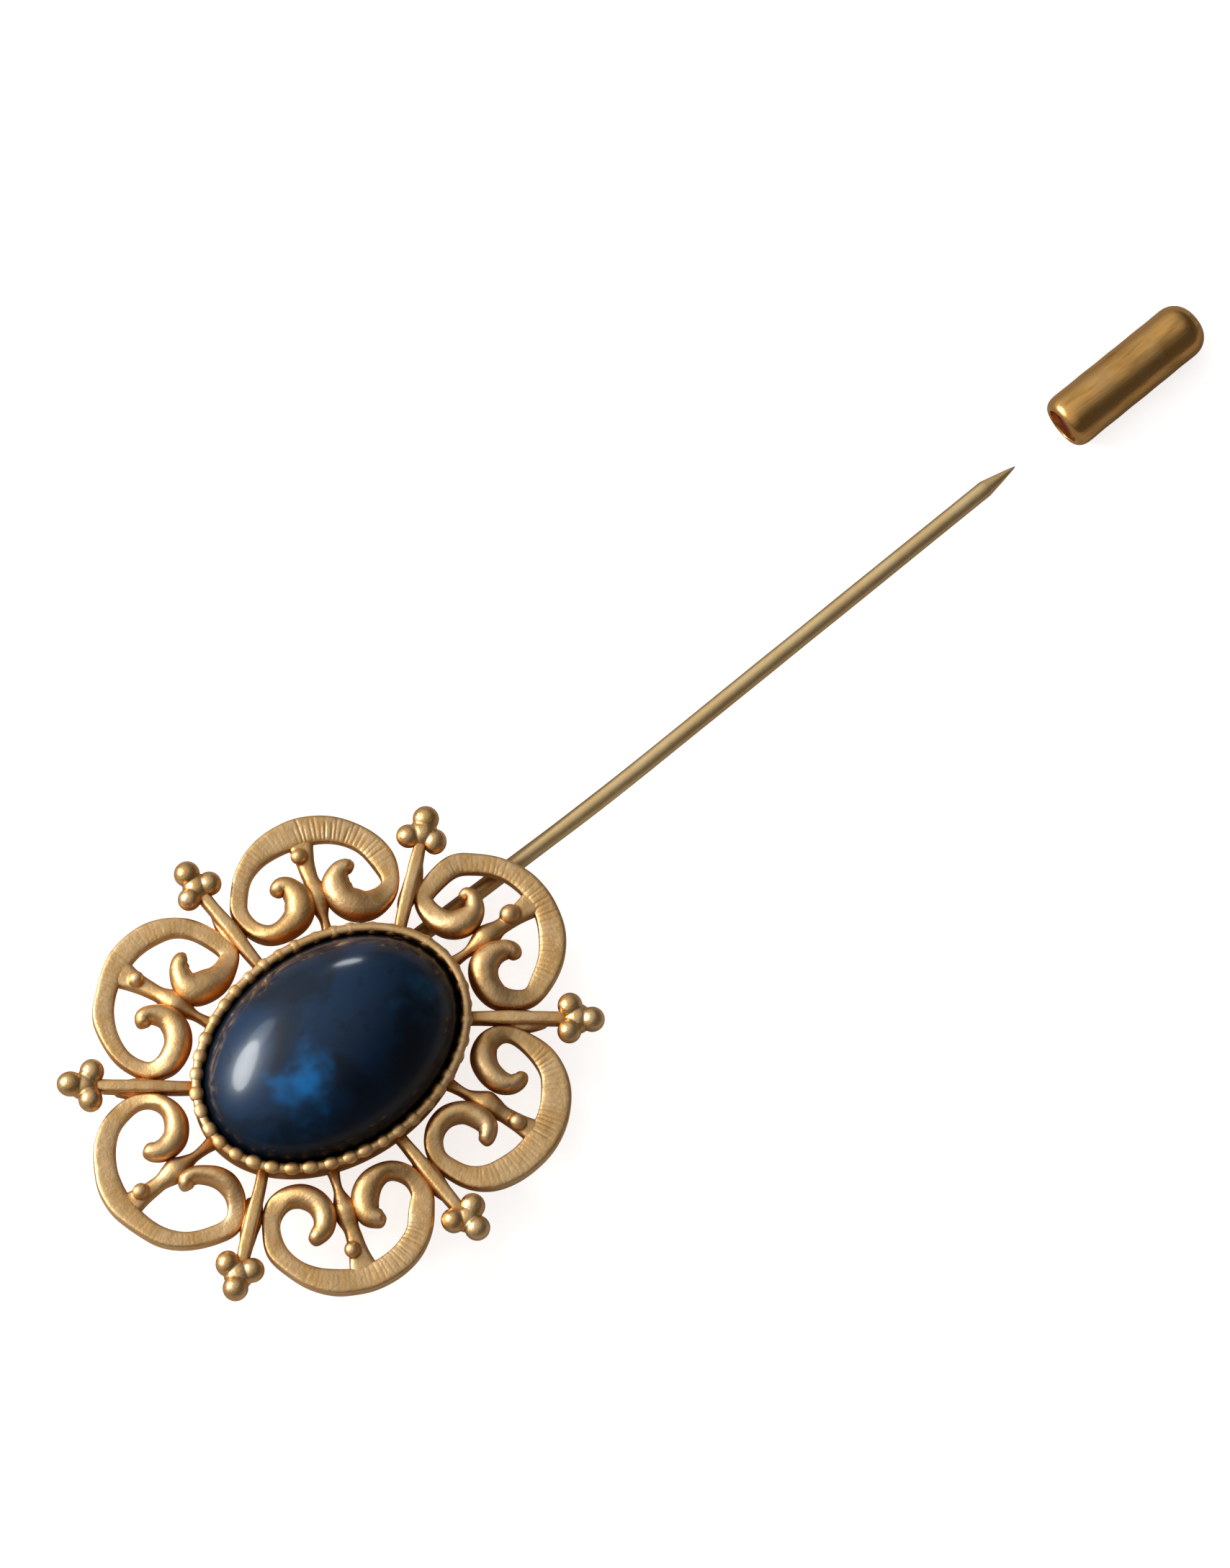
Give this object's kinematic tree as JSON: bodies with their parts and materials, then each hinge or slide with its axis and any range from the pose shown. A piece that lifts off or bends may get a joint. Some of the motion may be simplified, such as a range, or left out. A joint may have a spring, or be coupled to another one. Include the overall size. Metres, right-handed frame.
{
  "type": "hat pin",
  "caption": "Hat pin with an oval openwork scroll head around a domed dark stone, a long straight pin, and a slip-on point guard that slides off the tip.",
  "frame": {"origin": "on the pin's axis, where its straight shank begins just past the gentle bend beside the head", "axes": "+X along the straight shank towards the point, +Z out of the front of the head, +Y across the head"},
  "size_m": [0.0906, 0.0306, 0.009],
  "materials": {
    "gilt_filigree": "satin gold plate over cast brass, dark in the recesses",
    "gilt_granules": "brighter polished gold plate",
    "gilt_pin": "smooth drawn wire, gold plated",
    "stone_navy": "polished dark navy stone with cloudy blue patches",
    "bedding": "dark setting cement",
    "guard_gold": "polished and tarnished gold plate with coppery streaks",
    "guard_liner": "reddish brown soft sleeve"
  },
  "bodies": {
    "pin": {"needle": "gilt_pin", "pin_saddle": "gilt_filigree", "bezel_cup": "gilt_filigree", "beaded_rim": "gilt_granules", "stone_bed": "bedding", "cabochon": "stone_navy", "scroll_1": "gilt_filigree", "bud_1": "gilt_filigree", "stem_1": "gilt_filigree", "trefoil_1": "gilt_granules", "scroll_2": "gilt_filigree", "bud_2": "gilt_filigree", "stem_2": "gilt_filigree", "trefoil_2": "gilt_granules", "scroll_3": "gilt_filigree", "bud_3": "gilt_filigree", "stem_3": "gilt_filigree", "trefoil_3": "gilt_granules", "scroll_4": "gilt_filigree", "bud_4": "gilt_filigree", "stem_4": "gilt_filigree", "trefoil_4": "gilt_granules", "scroll_5": "gilt_filigree", "bud_5": "gilt_filigree", "stem_5": "gilt_filigree", "trefoil_5": "gilt_granules", "scroll_6": "gilt_filigree", "bud_6": "gilt_filigree", "stem_6": "gilt_filigree", "trefoil_6": "gilt_granules"},
    "guard": {"guard_shell": "guard_gold", "guard_liner": "guard_liner"}
  },
  "joints": [
    {"name": "guard_slide", "type": "slide", "parent": "pin", "child": "guard", "axis": [1, 0, 0], "range_m": [-0.0131, 0.04]}
  ]
}
